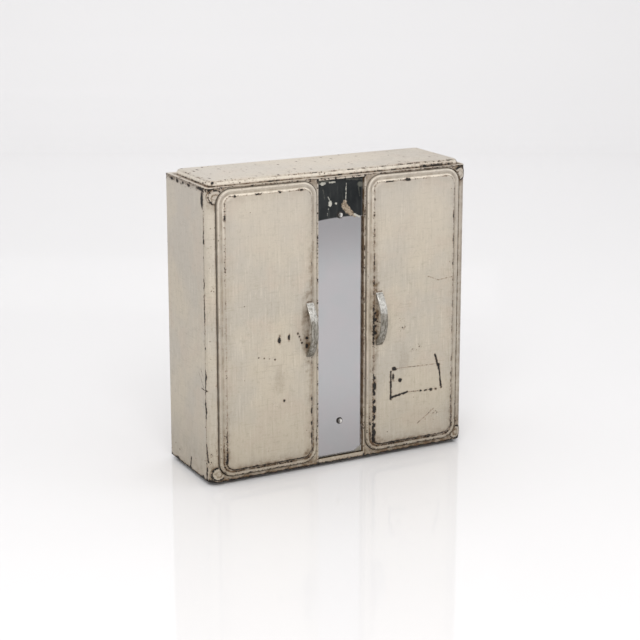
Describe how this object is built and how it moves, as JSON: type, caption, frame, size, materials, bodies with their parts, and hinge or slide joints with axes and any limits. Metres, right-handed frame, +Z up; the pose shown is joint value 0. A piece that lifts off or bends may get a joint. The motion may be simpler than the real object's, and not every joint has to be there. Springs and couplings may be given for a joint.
{
  "type": "medicine cabinet with mirror",
  "caption": "Painted steel wall cabinet with a fixed central mirror strip between raised-panel side doors that swing outward on concealed pin hinges, with strap pulls and inner shelves",
  "frame": {"origin": "centre of the overall footprint (pulls included) on the plane of the base", "axes": "+X to the right seen from the front, +Y to the wall side, +Z up; doors face -Y"},
  "size_m": [0.529, 0.2102, 0.546],
  "materials": {
    "enamel": "worn cream enamel, satin, chipped to dark metal",
    "inner_enamel": "cream enamel, satin, lightly soiled",
    "pull_chrome": "worn, pitted plating with paint remnants",
    "mirror": "silvered glass, aged at the edges",
    "steel": "dull plated steel, lightly rusted",
    "card": "brown backing card",
    "rubber": "matte black rubber"
  },
  "bodies": {
    "cabinet": {"back_panel": "inner_enamel", "bottom_panel": "inner_enamel", "front_frame": "enamel", "left_door_catch": "steel", "left_hanger_plate": "steel", "left_hinge_bracket_lower": "steel", "left_hinge_bracket_upper": "steel", "left_hinge_pin_lower": "steel", "left_hinge_pin_upper": "steel", "left_lower_corner_boss": "enamel", "left_shelf_bracket_lower": "steel", "left_shelf_bracket_upper": "steel", "left_side_panel": "enamel", "left_upper_corner_boss": "enamel", "lower_mirror_nut": "steel", "lower_mirror_screw": "pull_chrome", "lower_mirror_washer": "rubber", "lower_shelf": "inner_enamel", "mirror_bay_panel": "inner_enamel", "mirror_card": "card", "mirror_glass": "mirror", "right_door_catch": "steel", "right_hanger_plate": "steel", "right_hinge_bracket_lower": "steel", "right_hinge_bracket_upper": "steel", "right_hinge_pin_lower": "steel", "right_hinge_pin_upper": "steel", "right_lower_corner_boss": "enamel", "right_shelf_bracket_lower": "steel", "right_shelf_bracket_upper": "steel", "right_side_panel": "enamel", "right_upper_corner_boss": "enamel", "top_panel": "enamel", "upper_mirror_nut": "steel", "upper_mirror_screw": "pull_chrome", "upper_mirror_washer": "rubber", "upper_shelf": "inner_enamel"},
    "left_door": {"left_door_bumper_lower": "rubber", "left_door_bumper_upper": "rubber", "left_door_handle": "pull_chrome", "left_door_liner": "inner_enamel", "left_door_skin": "enamel", "left_door_strike": "steel", "left_handle_screw_lower": "steel", "left_handle_screw_upper": "steel", "left_hinge_arm_lower": "steel", "left_hinge_arm_upper": "steel"},
    "right_door": {"right_door_bumper_lower": "rubber", "right_door_bumper_upper": "rubber", "right_door_handle": "pull_chrome", "right_door_liner": "inner_enamel", "right_door_skin": "enamel", "right_door_strike": "steel", "right_handle_screw_lower": "steel", "right_handle_screw_upper": "steel", "right_hinge_arm_lower": "steel", "right_hinge_arm_upper": "steel"}
  },
  "joints": [
    {"name": "left_door_hinge", "type": "hinge", "parent": "cabinet", "child": "left_door", "pos_m": [-0.2531, -0.07125, 0.271], "axis": [0, 0, -1], "range_deg": [0, 100]},
    {"name": "right_door_hinge", "type": "hinge", "parent": "cabinet", "child": "right_door", "pos_m": [0.2531, -0.07125, 0.271], "axis": [0, 0, 1], "range_deg": [0, 100]}
  ]
}
